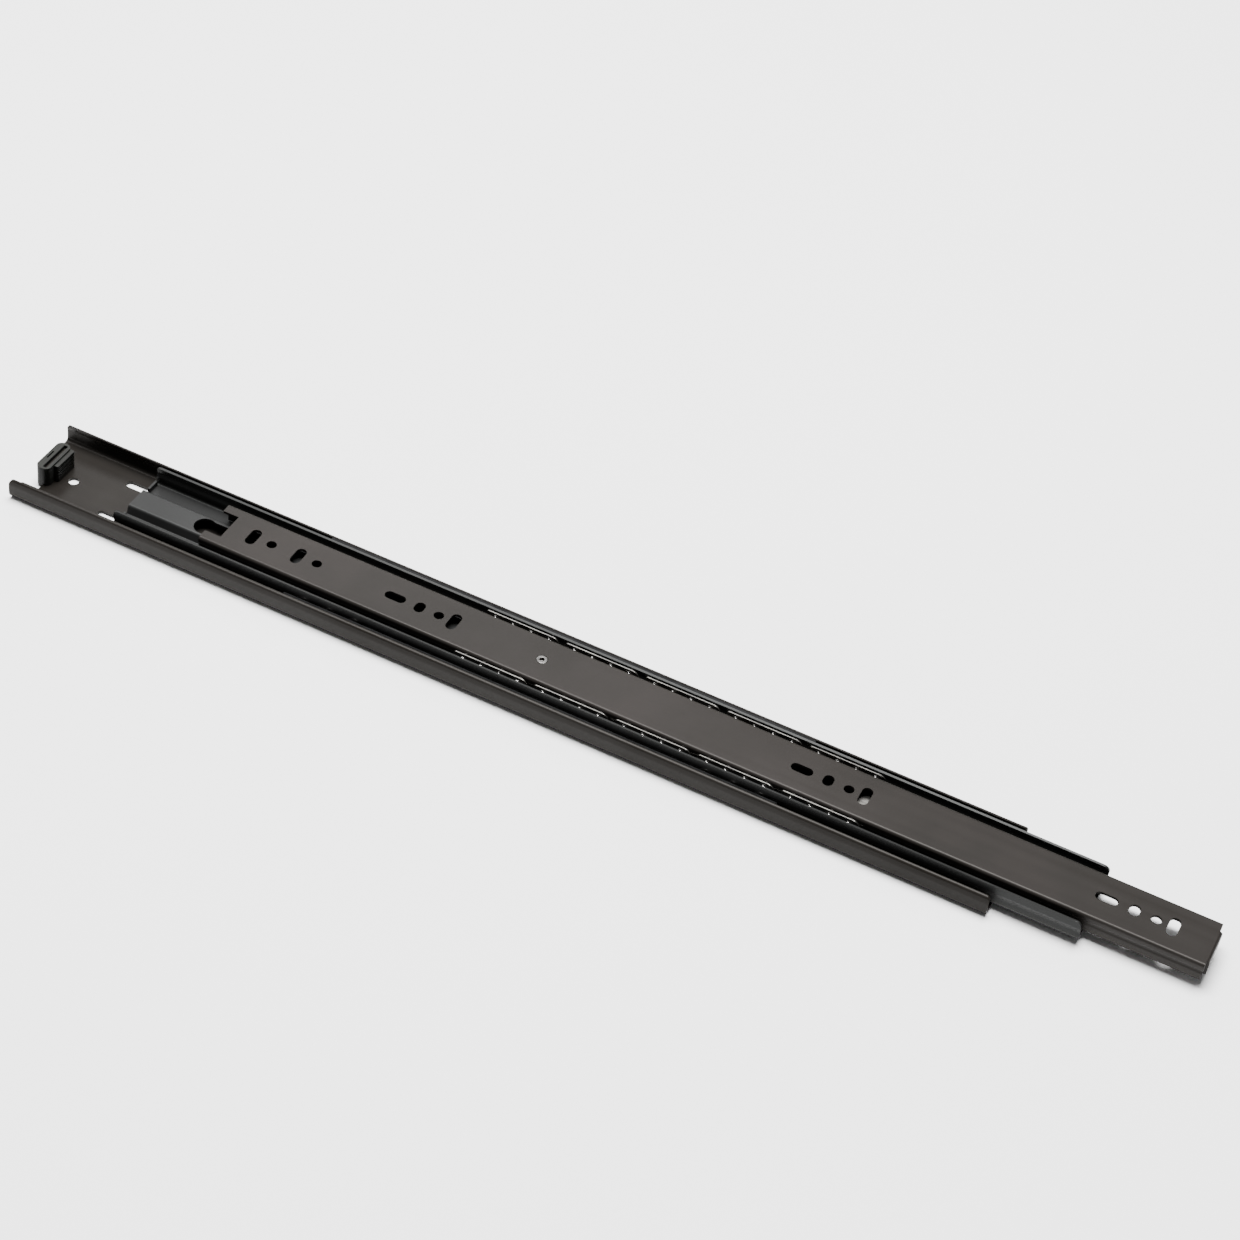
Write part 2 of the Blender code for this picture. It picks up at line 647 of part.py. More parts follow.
def inner_retainer_section():
    lift = MIDDLE_STEEL / 2 + FREE_GAP + RETAINER_STEEL / 2
    floor = MIDDLE_WEB + lift
    hat = HAT_TOP - MIDDLE_STEEL / 2 + lift
    half = bent_path([
        (0, hat, 0),
        (HAT_FLAT / 2 + lift, hat, HAT_ROUNDING),
        (VALLEY_START + lift, floor, HAT_ROUNDING / 2),
        (INNER_BALL_ACROSS, floor, RETAINER_CORNER),
        (INNER_BALL_ACROSS, TAB_TOP, 0),
    ])
    return sheet_outline(both_sides(half), RETAINER_STEEL)


def tab_gap(station):
    """The gap between two neighbouring tabs, with the rounded ends that the tabs have."""
    corners = [
        (station, TAB_FOOT, 0),
        (station + TAB_GAP, TAB_FOOT, 0),
        (station + TAB_GAP, TAB_TOP, TAB_REAR_ROUNDING),
        (station + TAB_GAP + TAB_REAR_ROUNDING + FREE_GAP, TAB_TOP, 0),
        (station + TAB_GAP + TAB_REAR_ROUNDING + FREE_GAP, TAB_TOP + OVERCUT, 0),
        (station - TAB_FRONT_ROUNDING - FREE_GAP, TAB_TOP + OVERCUT, 0),
        (station - TAB_FRONT_ROUNDING - FREE_GAP, TAB_TOP, 0),
        (station, TAB_TOP, TAB_FRONT_ROUNDING),
    ]
    return pulled_mesh("gap", rounded_outline(corners), -OUTER_WIDTH / 2, OUTER_WIDTH / 2, "Y")


def ball_holes(stations, across, height):
    return [
        pulled_mesh("ball_hole", circle_outline(RETAINER_HOLE, (station, height), BALL_HOLE_FACETS),
                    side * (across - BALL_RADIUS), side * (across + BALL_RADIUS), "Y")
        for station in stations
        for side in (-1, 1)
    ]


def retainer_windows(start, end, floor_low, floor_high, width):
    """Two long windows that leave a cross band at each end and one in the middle."""
    middle = (start + end) / 2
    spans = ((start + CROSS_BAND, middle - CROSS_BAND / 2), (middle + CROSS_BAND / 2, end - CROSS_BAND))
    windows = []
    for low, high in spans:
        plan = box_outline((low, -width / 2), (high, width / 2), RETAINER_WINDOW_CORNER)
        windows.append(pulled_mesh("window", plan, floor_low, floor_high, "Z"))
    return windows


def build_inner_retainer(parts, cutters):
    section = inner_retainer_section()
    mesh = pulled_mesh("inner_ball_retainer", section, INNER_RETAINER_START, INNER_RETAINER_END, "X")
    piece = placed("inner_ball_retainer", mesh, (0, 0, 0), parts)
    gaps = [tab_gap(INNER_RETAINER_START + tab * TAB_PITCH - TAB_GAP) for tab in range(TAB_COUNT + 1)]
    windows = retainer_windows(
        INNER_RETAINER_START, INNER_RETAINER_END, MIDDLE_WEB, HAT_TOP + 2 * OVERCUT, RETAINER_WINDOW_WIDTH)
    cut(piece, "tab_gap_cutter", gaps, cutters)
    cut(piece, "inner_window_cutter", windows, cutters)
    cut(piece, "inner_ball_hole_cutter",
        ball_holes(inner_ball_stations(), INNER_BALL_ACROSS, INNER_BALL_HEIGHT), cutters)
    finish(piece, BRIGHT_ZINC)
    smooth(piece)
    return piece


def outer_retainer_section():
    floor = OUTER_STEEL + FREE_GAP + RETAINER_STEEL / 2
    half = bent_path([
        (0, floor, 0),
        (OUTER_BALL_ACROSS, floor, RETAINER_CORNER),
        (OUTER_BALL_ACROSS, OUTER_BALL_HEIGHT + RETAINER_HOLE, RETAINER_FLARE_BEND),
        (OUTER_LIP - OUTER_LIP_REACH - RETAINER_STEEL, OUTER_RETAINER_TOP, 0),
    ])
    return sheet_outline(both_sides(half), RETAINER_STEEL)


def build_outer_retainer(parts, cutters):
    section = outer_retainer_section()
    mesh = pulled_mesh("outer_ball_retainer", section, OUTER_RETAINER_START, OUTER_RETAINER_END, "X")
    piece = placed("outer_ball_retainer", mesh, (0, 0, 0), parts)
    low = OUTER_STEEL - OVERCUT
    high = OUTER_STEEL + OVERCUT
    windows = retainer_windows(OUTER_RETAINER_START, OUTER_RETAINER_END, low, high, OUTER_WIDTH / 2)
    cut(piece, "outer_window_cutter", windows, cutters)
    cut(piece, "outer_ball_hole_cutter",
        ball_holes(outer_ball_stations(), OUTER_BALL_ACROSS, OUTER_BALL_HEIGHT), cutters)
    finish(piece, DARK_ZINC)
    smooth(piece)
    return piece


def ball_mesh():
    bpy.ops.mesh.primitive_ico_sphere_add(subdivisions=2, radius=BALL_RADIUS, location=(0, 0, 0))
    sphere = bpy.context.object
    mesh = sphere.data
    bpy.data.objects.remove(sphere)
    mesh.name = "ball"
    mesh.shade_smooth()
    return mesh


def build_balls(row, stations, across, height, parts):
    template = ball_mesh()
    balls = []
    for side, side_name in ((-1, "near"), (1, "far")):
        for number, station in enumerate(stations, start=1):
            name = f"{row}_ball_{side_name}_{number:02d}"
            ball = placed(name, template.copy(), (station, side * across, height), parts)
            finish(ball, BALL_STEEL)
            balls.append(ball)
    bpy.data.meshes.remove(template)
    return balls


# ---------------------------------------------------------------- bumper, lever and rivet

def build_bumper(parts, cutters):
    tab_rear = REAR_END + REAR_NOTCH_DEPTH
    rear = tab_rear - BUMPER_LENGTH * (1 - BUMPER_FRONT_SHARE)
    front = tab_rear + BUMPER_LENGTH * BUMPER_FRONT_SHARE
    back = front - PAD_THICKNESS
    plan = box_outline((rear, -BUMPER_WIDTH / 2), (back, BUMPER_WIDTH / 2), BUMPER_CORNER)
    mesh = pulled_mesh("rear_bumper", plan, FREE_GAP, BUMPER_HEIGHT, "Z")
    piece = placed("rear_bumper", mesh, (0, 0, 0), parts)
    pad = box_outline((front - 2 * PAD_THICKNESS, -PAD_NEAR), (front, PAD_FAR), PAD_THICKNESS / 2)
    pad_mesh = pulled_mesh("pad", pad, 2 * FREE_GAP, BUMPER_HEIGHT - PAD_DROP, "Z")
    add(piece, "bumper_pad", [pad_mesh], cutters)
    seat = box_outline((tab_rear - FREE_GAP, -BUMPER_WIDTH), (front + OVERCUT, BUMPER_WIDTH))
    tab = box_outline(
        (tab_rear - FREE_GAP, -BUMPER_TAB_WIDTH / 2 - FREE_GAP),
        (tab_rear + OUTER_STEEL + FREE_GAP, BUMPER_TAB_WIDTH / 2 + FREE_GAP))
    seat_mesh = pulled_mesh("seat", seat, -OVERCUT, OUTER_STEEL + FREE_GAP, "Z")
    slot_mesh = pulled_mesh("slot", tab, -OVERCUT, BUMPER_HEIGHT + OVERCUT, "Z")
    cut(piece, "bumper_seat_cutter", [seat_mesh], cutters)
    cut(piece, "bumper_slot_cutter", [slot_mesh], cutters)
    cut(piece, "bumper_relief_cutter", bumper_reliefs(rear, front), cutters)
    finish(piece, BLACK_RUBBER)
    smooth(piece)
    return piece


def bumper_reliefs(rear, front):
    """Level grooves round the front pad, and a short slot in the top behind the tab."""
    grooves = []
    for number in range(1, BUMPER_RIB_COUNT + 1):
        height = BUMPER_HEIGHT - PAD_DROP - number * BUMPER_RIB_PITCH
        groove = box_outline((front - BUMPER_RIB, height), (front + OVERCUT, height + BUMPER_RIB))
        grooves.append(pulled_mesh("groove", groove, -BUMPER_WIDTH, BUMPER_WIDTH, "Y"))
    middle = rear + 2 * BUMPER_RIB
    relief = box_outline((middle, -RELIEF_LENGTH / 2), (middle + RELIEF_SLOT, RELIEF_LENGTH / 2))
    relief_floor = BUMPER_HEIGHT - RELIEF_DEPTH
    grooves.append(pulled_mesh("relief", relief, relief_floor, BUMPER_HEIGHT + OVERCUT, "Z"))
    return grooves


def lever_outline():
    """Plan of the lever about its pivot: tail, boss and the forward arm with its blunt nose."""
    arm = LEVER_ARM_HALF
    boss = LEVER_BOSS_RADIUS
    lower = [
        (-LEVER_TAIL, -arm, LEVER_ROUNDING),
        (-boss, -arm, 0),
        (-boss / 2, -boss, LEVER_ROUNDING),
        (boss / 2, -boss, LEVER_ROUNDING),
        (boss, -arm, 0),
        (LEVER_ARM, -LEVER_NOSE_HALF, LEVER_ROUNDING),
    ]
    return rounded_outline(lower + [(x, -y, radius) for x, y, radius in reversed(lower)])


def build_lever(parts):
    top = -INNER_STEEL - FREE_GAP
    bore = circle_outline(RIVET_SHANK_RADIUS + PIVOT_GAP)
    mesh = pulled_mesh("release_lever", lever_outline(), top - LEVER_THICKNESS, top, "Z", bore)
    piece = placed("release_lever", mesh, PIVOT, parts)
    finish(piece, BLACK_PLASTIC)
    smooth(piece)
    return piece


def build_rivet(parts):
    """A turned rivet: flush head with a cup in it, shank through web and lever, closing flange below."""
    lever_bottom = -INNER_STEEL - FREE_GAP - LEVER_THICKNESS
    head_bottom = -RIVET_HEAD_THICKNESS
    flange_top = lever_bottom - PIVOT_GAP
    flange_bottom = flange_top - RIVET_HEAD_THICKNESS / 2
    profile = [
        (0, -RIVET_CUP_DEPTH),
        (RIVET_CUP_RADIUS, -RIVET_CUP_DEPTH),
        (RIVET_CUP_RADIUS, 0),
        (RIVET_HEAD_RADIUS, 0),
        (RIVET_HEAD_RADIUS, head_bottom),
        (RIVET_SHANK_RADIUS, head_bottom),
        (RIVET_SHANK_RADIUS, flange_top),
        (RIVET_HEAD_RADIUS, flange_top),
        (RIVET_HEAD_RADIUS, flange_bottom),
        (0, flange_bottom),
    ]
    mesh = bpy.data.meshes.new("lever_rivet")
    work = bmesh.new()
    verts = [work.verts.new((x, 0, z)) for x, z in profile]
    edges = [work.edges.new((first, second)) for first, second in zip(verts, verts[1:])]
    bmesh.ops.spin(work, geom=verts + edges, cent=(0, 0, 0), axis=(0, 0, 1), angle=2 * math.pi,
                   steps=ROUND_FACETS, use_merge=True)
    bmesh.ops.remove_doubles(work, verts=work.verts, dist=WELD)
    bmesh.ops.recalc_face_normals(work, faces=work.faces)
    work.to_mesh(mesh)
    work.free()
    piece = placed("lever_rivet", mesh, PIVOT, parts)
    finish(piece, RIVET_STEEL)
    smooth(piece)
    return piece


# ---------------------------------------------------------------- assembly

def new_collection(name):
    collection = bpy.data.collections.new(name)
    bpy.context.scene.collection.children.link(collection)
    return collection


def motion_frame(name, location, parent, parts):
    empty = bpy.data.objects.new(name, None)
    empty.location = location
    parts.objects.link(empty)
    if parent:
        hang(empty, parent)
    return empty


def hang(child, parent):
    bpy.context.view_layer.update()
    child.parent = parent
    child.matrix_parent_inverse = parent.matrix_world.inverted()


def build_slide():
    for leftover in list(bpy.data.objects):
        bpy.data.objects.remove(leftover)
    parts = new_collection("drawer_slide")
    cutters = new_collection("drawer_slide_cutters")
    cabinet = motion_frame("cabinet_frame", (0, 0, 0), None, parts)
    middle = motion_frame("middle_slide_axis", (MIDDLE_START, 0, MIDDLE_WEB), cabinet, parts)
    drawer = motion_frame("inner_slide_axis", (INNER_START, 0, SLIDE_DEPTH), middle, parts)
    outer_row = (OUTER_RETAINER_START, 0, OUTER_BALL_HEIGHT)
    inner_row = (INNER_RETAINER_START, 0, INNER_BALL_HEIGHT)
    outer_cage = motion_frame("outer_retainer_axis", outer_row, cabinet, parts)
    inner_cage = motion_frame("inner_retainer_axis", inner_row, middle, parts)
    lever_axis = motion_frame("lever_axis", PIVOT, drawer, parts)
    hang(build_outer_member(parts, cutters), cabinet)
    hang(build_bumper(parts, cutters), cabinet)
    hang(build_middle_member(parts, cutters), middle)
    hang(build_inner_member(parts, cutters), drawer)
    hang(build_rivet(parts), drawer)
    hang(build_lever(parts), lever_axis)
    hang(build_outer_retainer(parts, cutters), outer_cage)
    hang(build_inner_retainer(parts, cutters), inner_cage)
    for ball in build_balls("outer", outer_ball_stations(), OUTER_BALL_ACROSS, OUTER_BALL_HEIGHT, parts):
        hang(ball, outer_cage)
    for ball in build_balls("inner", inner_ball_stations(), INNER_BALL_ACROSS, INNER_BALL_HEIGHT, parts):
        hang(ball, inner_cage)
    bpy.context.view_layer.update()


build_slide()
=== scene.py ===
# %% [markdown]
# # A cabinet drawer slide, finished in Blender
# The drawer slide comes in as a frame of solid parts: three nested channels, two ball retainers,
# the balls, a rubber bumper, a release lever and its rivet. Every part is already at its real size
# and in its place. What is left is what the eye reads: softened edges, true round balls, the black
# coat on the steel, bright zinc, a film of oil on the balls, rubber, and the light that shows them.

import math

import bpy
from mathutils import Matrix, Vector


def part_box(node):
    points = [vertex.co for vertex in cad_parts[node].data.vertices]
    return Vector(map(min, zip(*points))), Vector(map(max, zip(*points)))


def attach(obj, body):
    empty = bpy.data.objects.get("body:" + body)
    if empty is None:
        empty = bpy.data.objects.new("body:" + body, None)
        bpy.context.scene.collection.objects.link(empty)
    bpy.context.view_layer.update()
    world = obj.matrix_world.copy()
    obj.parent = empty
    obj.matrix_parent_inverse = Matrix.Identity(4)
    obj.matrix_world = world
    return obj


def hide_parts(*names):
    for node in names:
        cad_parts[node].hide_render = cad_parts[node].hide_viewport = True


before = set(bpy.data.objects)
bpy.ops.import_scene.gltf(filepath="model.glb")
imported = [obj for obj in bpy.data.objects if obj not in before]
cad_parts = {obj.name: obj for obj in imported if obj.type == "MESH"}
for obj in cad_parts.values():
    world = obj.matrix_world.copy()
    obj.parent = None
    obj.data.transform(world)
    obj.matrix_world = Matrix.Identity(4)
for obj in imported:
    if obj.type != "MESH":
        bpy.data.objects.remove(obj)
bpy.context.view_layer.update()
MM = 0.001

# %% [markdown]
# ## Soft edges on pressed steel
# Sheet steel leaves the press with a slightly rolled edge, and a coat of paint rounds it further.
# A corner that is perfectly sharp never catches the light, so the part looks like a drawing. The
# edges could be bevelled by hand, but the channels are long strips with dozens of holes. A Bevel
# modifier that works by angle finds every sharp edge on its own. The loose triangles are welded
# first, and Weighted Normal keeps the large flats flat in the shading.

# %% Edge softening for the pressed and moulded parts
SHARP_ANGLE = math.radians(38)
WELD_DISTANCE = 0.002 * MM
EDGE_SEGMENTS = 2
LARGE_FACE_WEIGHT = 100


def soften_edges(part, width):
    part.data.shade_smooth()
    weld = part.modifiers.new("weld", "WELD")
    weld.merge_threshold = WELD_DISTANCE
    bevel = part.modifiers.new("rolled_edge", "BEVEL")
    bevel.limit_method = "ANGLE"
    bevel.angle_limit = SHARP_ANGLE
    bevel.width = width
    bevel.segments = EDGE_SEGMENTS
    bevel.use_clamp_overlap = True
    normals = part.modifiers.new("flat_faces", "WEIGHTED_NORMAL")
    normals.mode = "FACE_AREA"
    normals.weight = LARGE_FACE_WEIGHT
    normals.keep_sharp = False


EDGE_WIDTHS = {
    "outer_member": 0.15 * MM,
    "intermediate_member": 0.12 * MM,
    "inner_member": 0.15 * MM,
    "outer_ball_retainer": 0.06 * MM,
    "inner_ball_retainer": 0.06 * MM,
    "rear_bumper": 0.35 * MM,
    "release_lever": 0.3 * MM,
    "lever_rivet": 0.1 * MM,
}

for name, width in EDGE_WIDTHS.items():
    soften_edges(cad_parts[name], width)
print("softened the edges of", len(EDGE_WIDTHS), "parts")

# %% [markdown]
# ## Round balls
# Each bearing ball is a true sphere, and on polished steel any facet shows as a broken reflection.
# The frame's balls are coarse, which is enough to check how the parts move. One fine ball is
# modelled here from a cube: subdividing a cube and pushing its points out to one radius gives even,
# four-sided faces with no poles, which reflect more evenly than a ball of stacked rings. It is then
# copied to each place, every copy with its own mesh.

# %% One fine ball from a cube
BALL_RADIUS = 2.0 * MM
BALL_CUTS = 7


def start_clean():
    bpy.ops.object.select_all(action="DESELECT")


def model_ball():
    start_clean()
    bpy.ops.mesh.primitive_cube_add(size=2 * BALL_RADIUS, location=(0, 0, 0))
    ball = bpy.context.object
    bpy.ops.object.mode_set(mode="EDIT")
    bpy.ops.mesh.select_all(action="SELECT")
    bpy.ops.mesh.subdivide(number_cuts=BALL_CUTS)
    bpy.ops.transform.tosphere(value=1.0)
    bpy.ops.mesh.normals_make_consistent(inside=False)
    bpy.ops.object.mode_set(mode="OBJECT")
    reach = max(vertex.co.length for vertex in ball.data.vertices)
    ball.data.transform(Matrix.Scale(BALL_RADIUS / reach, 4))
    ball.data.shade_smooth()
    ball.name = "ball_pattern"
    return ball


pattern = model_ball()
print("fine ball has", len(pattern.data.polygons), "faces")

# %% [markdown]
# ## A ball for every pocket
# The middle of each coarse ball's box gives the place, and the ball's name tells which retainer
# carries it. The mesh is moved and not the object, so every ball reads its own patch of the noise
# that will colour it.

# %% Put a fine ball in every pocket
def centre_of(node):
    low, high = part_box(node)
    return (Vector(low) + Vector(high)) / 2


def place_ball(node, body):
    ball = bpy.data.objects.new("fine_" + node, pattern.data.copy())
    bpy.context.scene.collection.objects.link(ball)
    ball.data.transform(Matrix.Translation(centre_of(node)))
    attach(ball, body)
    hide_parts(node)
    return ball


ball_nodes = [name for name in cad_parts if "_ball_near_" in name or "_ball_far_" in name]
balls = []
for name in ball_nodes:
    row = "outer_retainer" if name.startswith("outer") else "inner_retainer"
    balls.append(place_ball(name, row))
bpy.data.objects.remove(pattern)
print("placed", len(balls), "balls")

# %% [markdown]
# ## A shader kit in a few lines
# Every finish below starts from the same three things: the part's own Object coordinates, a noise
# read from them, and a Principled shader. Object coordinates are in metres and sit still on the
# part, so a scale of 1000 means one feature a millimetre. Small helpers keep each recipe short
# enough to read at a glance.

# %% Helpers for the finishes
NOISE_MIDDLE = (0.3, 0.7)


def new_finish(name):
    material = bpy.data.materials.new(name)
    material.use_nodes = True
    nodes = material.node_tree.nodes
    shader = nodes["Principled BSDF"]
    place = nodes.new("ShaderNodeTexCoord").outputs["Object"]
    return material, shader, place


def noise(material, place, scale, detail=2.0, stretch=(1, 1, 1)):
    nodes, links = material.node_tree.nodes, material.node_tree.links
    mapping = nodes.new("ShaderNodeMapping")
    mapping.inputs["Scale"].default_value = stretch
    texture = nodes.new("ShaderNodeTexNoise")
    texture.inputs["Scale"].default_value = scale
    texture.inputs["Detail"].default_value = detail
    links.new(place, mapping.inputs["Vector"])
    links.new(mapping.outputs["Vector"], texture.inputs["Vector"])
    return texture.outputs["Fac"]


def between(material, factor, low, high):
    """Spreads the useful middle of a noise over the range from low to high."""
    node = material.node_tree.nodes.new("ShaderNodeMapRange")
    node.inputs["From Min"].default_value = NOISE_MIDDLE[0]
    node.inputs["From Max"].default_value = NOISE_MIDDLE[1]
    node.inputs["To Min"].default_value = low
    node.inputs["To Max"].default_value = high
    material.node_tree.links.new(factor, node.inputs["Value"])
    return node.outputs["Result"]


def blend_colours(material, factor, first, second):
    node = material.node_tree.nodes.new("ShaderNodeMix")
    node.data_type = "RGBA"
    node.inputs["A"].default_value = (*first, 1)
    node.inputs["B"].default_value = (*second, 1)
    material.node_tree.links.new(factor, node.inputs["Factor"])
    return node.outputs["Result"]


def relief(material, height, depth, strength, below=None):
    node = material.node_tree.nodes.new("ShaderNodeBump")
    node.inputs["Distance"].default_value = depth
    node.inputs["Strength"].default_value = strength
    material.node_tree.links.new(height, node.inputs["Height"])
    if below:
        material.node_tree.links.new(below, node.inputs["Normal"])
    return node.outputs["Normal"]


def connect(material, source, shader, socket):
    material.node_tree.links.new(source, shader.inputs[socket])


# %% [markdown]
# ## Black coat on the three channels
# The channels are cold-rolled steel under a thin black coat. Close up the coat has a fine orange
# peel, and along the strip there are faint lengthwise bands where the rollers shaped the steel.
# A paint shader could be built from layers, but one Principled shader with a weak, tinted
# reflection and three scales of noise already reads as a satin coat. The outer and inner channels
# are a warm black and the one between them a neutral black, so the recipe takes its colours, its
# tint and its gloss as values.

# %% The satin black coat
PEEL_SCALE = 900
PEEL_DEPTH = 0.012 * MM
PEEL_STRENGTH = 0.35
BAND_SCALE = 60
BAND_DETAIL = 4.0
BAND_STRETCH = (0.05, 4.0, 4.0)
BAND_DEPTH = 0.02 * MM
BAND_STRENGTH = 0.25
CLOUD_SCALE = 25
CLOUD_DETAIL = 3.0
COAT_SMOOTHER = 0.04
COAT_ROUGHER = 0.05


def black_coat(name, dark, light, roughness, tint, gloss):
    material, shader, place = new_finish(name)
    peel = noise(material, place, PEEL_SCALE)
    bands = noise(material, place, BAND_SCALE, BAND_DETAIL, BAND_STRETCH)
    clouds = noise(material, place, CLOUD_SCALE, CLOUD_DETAIL)
    colour = blend_colours(material, between(material, clouds, 0, 1), dark, light)
    satin = between(material, bands, roughness - COAT_SMOOTHER, roughness + COAT_ROUGHER)
    rolled = relief(material, bands, BAND_DEPTH, BAND_STRENGTH)
    peeled = relief(material, peel, PEEL_DEPTH, PEEL_STRENGTH, rolled)
    connect(material, colour, shader, "Base Color")
    connect(material, satin, shader, "Roughness")
    connect(material, peeled, shader, "Normal")
    shader.inputs["Specular IOR Level"].default_value = gloss
    shader.inputs["Specular Tint"].default_value = (*tint, 1)
    return material


BROWN_TINT = (1.0, 0.95, 0.915)
NEUTRAL_TINT = (0.98, 1.0, 0.98)
OUTER_COAT = ((0.007, 0.006, 0.005), (0.011, 0.010, 0.009), 0.38, BROWN_TINT, 0.10)
MIDDLE_COAT = ((0.010, 0.010, 0.010), (0.014, 0.014, 0.014), 0.40, NEUTRAL_TINT, 0.16)
INNER_COAT = ((0.010, 0.009, 0.008), (0.015, 0.013, 0.012), 0.38, BROWN_TINT, 0.125)

coats = {
    "outer_member": black_coat("outer_black_coat", *OUTER_COAT),
    "intermediate_member": black_coat("intermediate_black_coat", *MIDDLE_COAT),
    "inner_member": black_coat("inner_warm_black_coat", *INNER_COAT),
}
print("coats:", ", ".join(coats))

# %% [markdown]
# ## Zinc, bearing steel and rivet steel
# The inner retainer is stamped from zinc-plated strip, so it is metal all through: a full metallic
# value, a warm grey and a grain that runs lengthwise. The outer retainer has a darker passivated
# plate. The balls are far smoother, with only a trace of oil that breaks up the reflection.

# %% Plated and polished metals
GRAIN_SCALE = 300
GRAIN_DETAIL = 3.0
GRAIN_STRETCH = (0.08, 3.0, 3.0)
GRAIN_DEPTH = 0.01 * MM
GRAIN_STRENGTH = 0.3
SPANGLE_SCALE = 180
SPANGLE_DETAIL = 1.0
PLATE_SMOOTHER = 0.06
PLATE_ROUGHER = 0.08
FILM_SCALE = 400
FILM_ROUGHNESS = (0.06, 0.2)


def plated(name, dark, light, roughness, metallic):
    material, shader, place = new_finish(name)
    grain = noise(material, place, GRAIN_SCALE, GRAIN_DETAIL, GRAIN_STRETCH)
    spangle = noise(material, place, SPANGLE_SCALE, SPANGLE_DETAIL)
    colour = blend_colours(material, between(material, spangle, 0, 1), dark, light)
    worn = between(material, grain, roughness - PLATE_SMOOTHER, roughness + PLATE_ROUGHER)
    connect(material, colour, shader, "Base Color")
    connect(material, worn, shader, "Roughness")
    connect(material, relief(material, grain, GRAIN_DEPTH, GRAIN_STRENGTH), shader, "Normal")
    shader.inputs["Metallic"].default_value = metallic
    return material


def polished(name, colour, film_colour):
    material, shader, place = new_finish(name)
    film = noise(material, place, FILM_SCALE)
    oily = blend_colours(material, between(material, film, 0, 1), colour, film_colour)
    connect(material, oily, shader, "Base Color")
    connect(material, between(material, film, *FILM_ROUGHNESS), shader, "Roughness")
    shader.inputs["Metallic"].default_value = 1.0
    return material


BRIGHT_ZINC = ((0.14, 0.135, 0.13), (0.20, 0.195, 0.18), 0.34, 1.0)
DARK_ZINC = ((0.020, 0.020, 0.021), (0.034, 0.034, 0.035), 0.40, 0.7)
RIVET_STEEL = ((0.09, 0.088, 0.085), (0.14, 0.135, 0.13), 0.30, 1.0)
BALL_STEEL = ((0.50, 0.49, 0.48), (0.38, 0.37, 0.36))

metals = {
    "inner_ball_retainer": plated("bright_zinc", *BRIGHT_ZINC),
    "outer_ball_retainer": plated("dark_zinc", *DARK_ZINC),
    "lever_rivet": plated("rivet_steel", *RIVET_STEEL),
}
ball_steel = polished("ball_steel", *BALL_STEEL)
print("metals:", ", ".join(metals), "and the balls")

# %% [markdown]
# ## Rubber and moulded plastic
# The bumper at the rear is moulded rubber: very dark, matt, with a fine dusty skin. The lever under
# the inner channel is glass-filled plastic. Both are dielectrics with a rough surface, and the skin
# is a short-wave bump.

# %% Rubber and plastic
MOULDED_GLOSS = 0.2
MOULDED_SPREAD = 0.06
DUST_SCALE = 120
DUST_DETAIL = 3.0
SKIN_DETAIL = 4.0
SKIN_STRENGTH = 0.5


def moulded(name, dark, light, roughness, skin_scale, skin_depth):
    material, shader, place = new_finish(name)
    skin = noise(material, place, skin_scale, SKIN_DETAIL)
    dust = noise(material, place, DUST_SCALE, DUST_DETAIL)
    colour = blend_colours(material, between(material, dust, 0, 1), dark, light)
    matt = between(material, dust, roughness - MOULDED_SPREAD, roughness + MOULDED_SPREAD)
    connect(material, colour, shader, "Base Color")
    connect(material, matt, shader, "Roughness")
    connect(material, relief(material, skin, skin_depth, SKIN_STRENGTH), shader, "Normal")
    shader.inputs["Specular IOR Level"].default_value = MOULDED_GLOSS
    return material


RUBBER = ((0.006, 0.006, 0.005), (0.012, 0.013, 0.011), 0.60, 2200, 0.03 * MM)
PLASTIC = ((0.012, 0.012, 0.013), (0.018, 0.018, 0.020), 0.45, 3000, 0.01 * MM)

mouldings = {
    "rear_bumper": moulded("black_rubber", *RUBBER),
    "release_lever": moulded("black_plastic", *PLASTIC),
}
print("mouldings:", ", ".join(mouldings))

# %% [markdown]
# ## One finish to a piece
# Any material that a part came in with is cleared first, so that a piece holds one finish and no
# more.

# %% Put each finish on its part
def give_finish(part, material):
    part.data.materials.clear()
    part.data.materials.append(material)


for name, material in {**coats, **metals, **mouldings}.items():
    give_finish(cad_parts[name], material)
for ball in balls:
    give_finish(ball, ball_steel)
print("finished", len(coats) + len(metals) + len(mouldings) + len(balls), "pieces")

# %% [markdown]
# ## Floor and light
# A black object on a pale floor is lit by what it reflects. One softbox stands behind it and to the
# left, where the flat webs mirror it towards the viewer, so their tone falls off gently towards the
# front end. A larger box stands higher and only a little behind. It keeps the floor bright, and the
# short shadow it throws forward is what the lower half of the near wall mirrors. The floor is plain
# and pale, and the world is a dim even grey that leaves the gaps dark.

# %% Floor
FLOOR_SIZE = 6
FLOOR_LEVEL = -0.4 * MM
FLOOR_PALE = (0.90, 0.90, 0.90)
FLOOR_PALEST = (0.92, 0.92, 0.92)
FLOOR_ROUGHNESS = 0.9
FLOOR_GLOSS = 0.1
MOTTLE_SCALE = 3

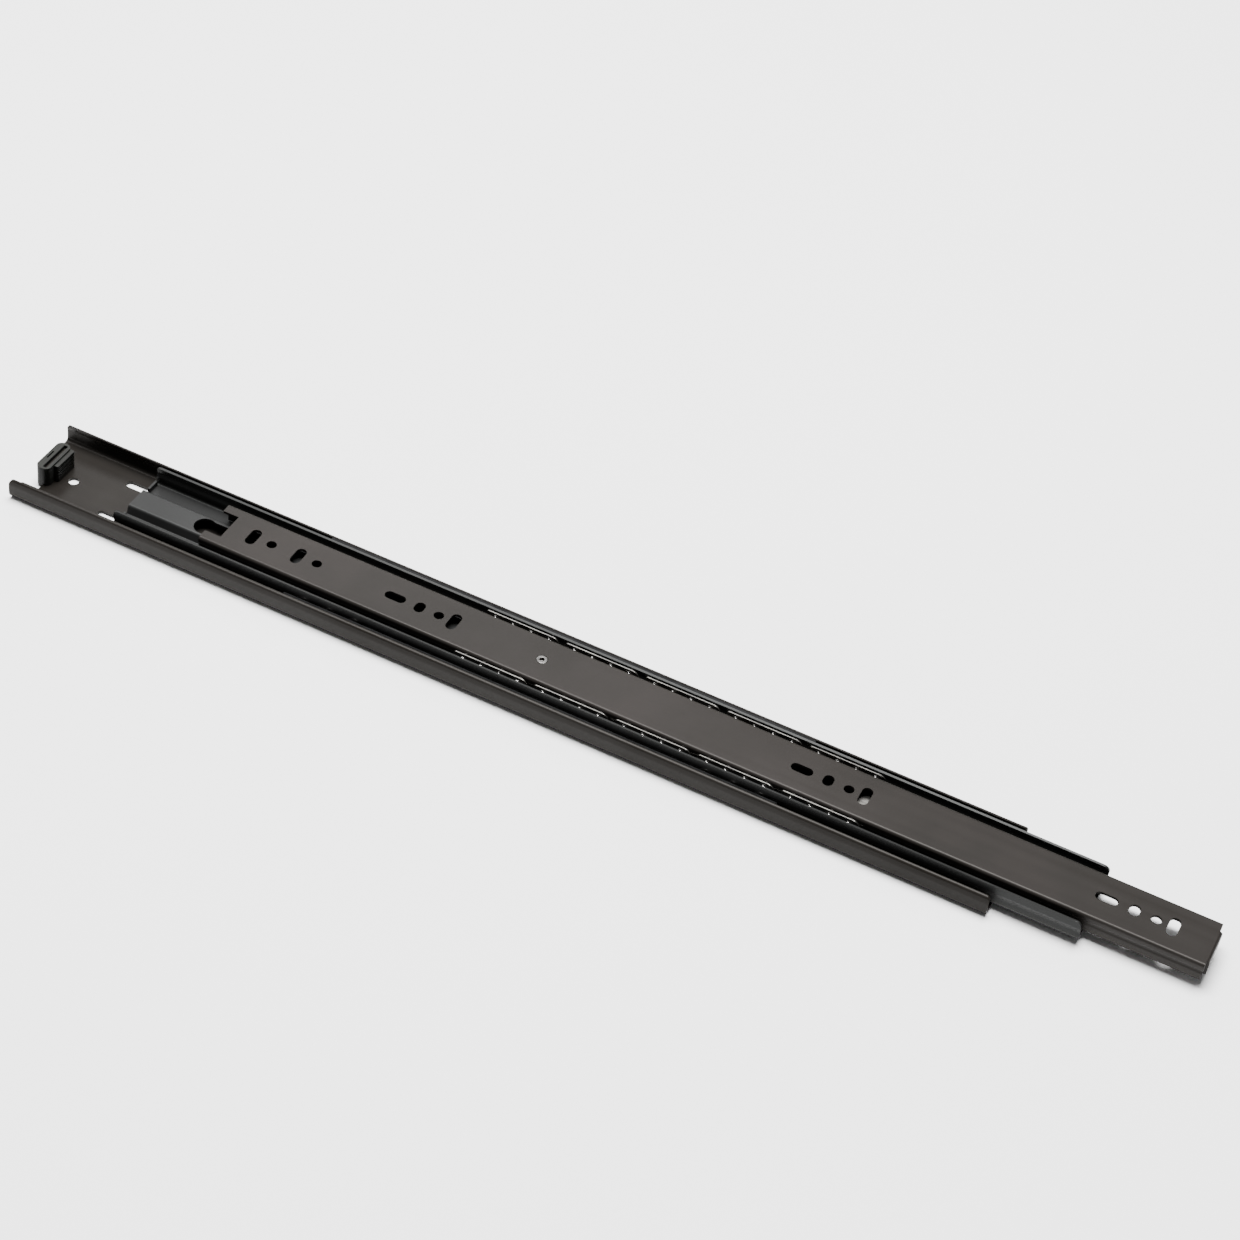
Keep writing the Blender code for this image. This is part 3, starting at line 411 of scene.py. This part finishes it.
start_clean()
bpy.ops.mesh.primitive_plane_add(size=FLOOR_SIZE, location=(0, 0, FLOOR_LEVEL))
floor = bpy.context.object
floor.name = "floor"
paint, floor_shader, floor_place = new_finish("pale_floor")
mottle = between(paint, noise(paint, floor_place, MOTTLE_SCALE), 0, 1)
pale = blend_colours(paint, mottle, FLOOR_PALE, FLOOR_PALEST)
connect(paint, pale, floor_shader, "Base Color")
floor_shader.inputs["Roughness"].default_value = FLOOR_ROUGHNESS
floor_shader.inputs["Specular IOR Level"].default_value = FLOOR_GLOSS
give_finish(floor, paint)
print("floor laid")

# %% Lights
# Each softbox: where it stands, where it points, its two sides in metres and its power in watts.
BACK_SOFTBOX = ((-0.85, 1.50, 1.30), (-0.06, 0, 0), (1.1, 0.6), 14)
HIGH_SOFTBOX = ((-0.20, 0.28, 2.1), (0, 0, 0), (1.6, 1.1), 210)
WORLD_STRENGTH = 0.18


def softbox(name, place, target, size, power):
    lamp = bpy.data.lights.new(name, "AREA")
    lamp.shape = "RECTANGLE"
    lamp.size, lamp.size_y = size
    lamp.energy = power
    light = bpy.data.objects.new(name, lamp)
    bpy.context.scene.collection.objects.link(light)
    light.location = place
    aim = Vector(target) - Vector(place)
    light.rotation_euler = aim.to_track_quat("-Z", "Y").to_euler()
    return light


lights = [softbox("back_softbox", *BACK_SOFTBOX), softbox("high_softbox", *HIGH_SOFTBOX)]
world = bpy.data.worlds.new("even_grey")
world.use_nodes = True
background = world.node_tree.nodes["Background"]
background.inputs["Color"].default_value = (1, 1, 1, 1)
background.inputs["Strength"].default_value = WORLD_STRENGTH
bpy.context.scene.world = world
print("lights:", ", ".join(light.name for light in lights))

# %% [markdown]
# ## A long lens from above
# The slide is more than ten times as long as it is wide, and a short lens would make its near end
# loom. A long lens from well above and to one side keeps the channels close to parallel and still
# looks down into them. The camera's own right and up are written out as directions, which fixes
# its roll as well as its aim.

# %% Camera
CAMERA_PLACE = Vector((0.3366, -0.7915, 0.8342))
CAMERA_RIGHT = Vector((0.89381, 0.43444, 0.11119))
CAMERA_UP = Vector((-0.37246, 0.58110, 0.72360))
CAMERA_LENS = 84.18
SENSOR_WIDTH = 36
NEAR_CLIP = 0.01

camera = bpy.data.objects.new("camera", bpy.data.cameras.new("camera"))
bpy.context.scene.collection.objects.link(camera)
turn = Matrix((CAMERA_RIGHT, CAMERA_UP, CAMERA_RIGHT.cross(CAMERA_UP))).transposed()
camera.matrix_world = Matrix.Translation(CAMERA_PLACE) @ turn.to_4x4()
camera.data.lens = CAMERA_LENS
camera.data.sensor_width = SENSOR_WIDTH
camera.data.clip_start = NEAR_CLIP
bpy.context.scene.camera = camera
print("camera", round(CAMERA_PLACE.length, 3), "m away")
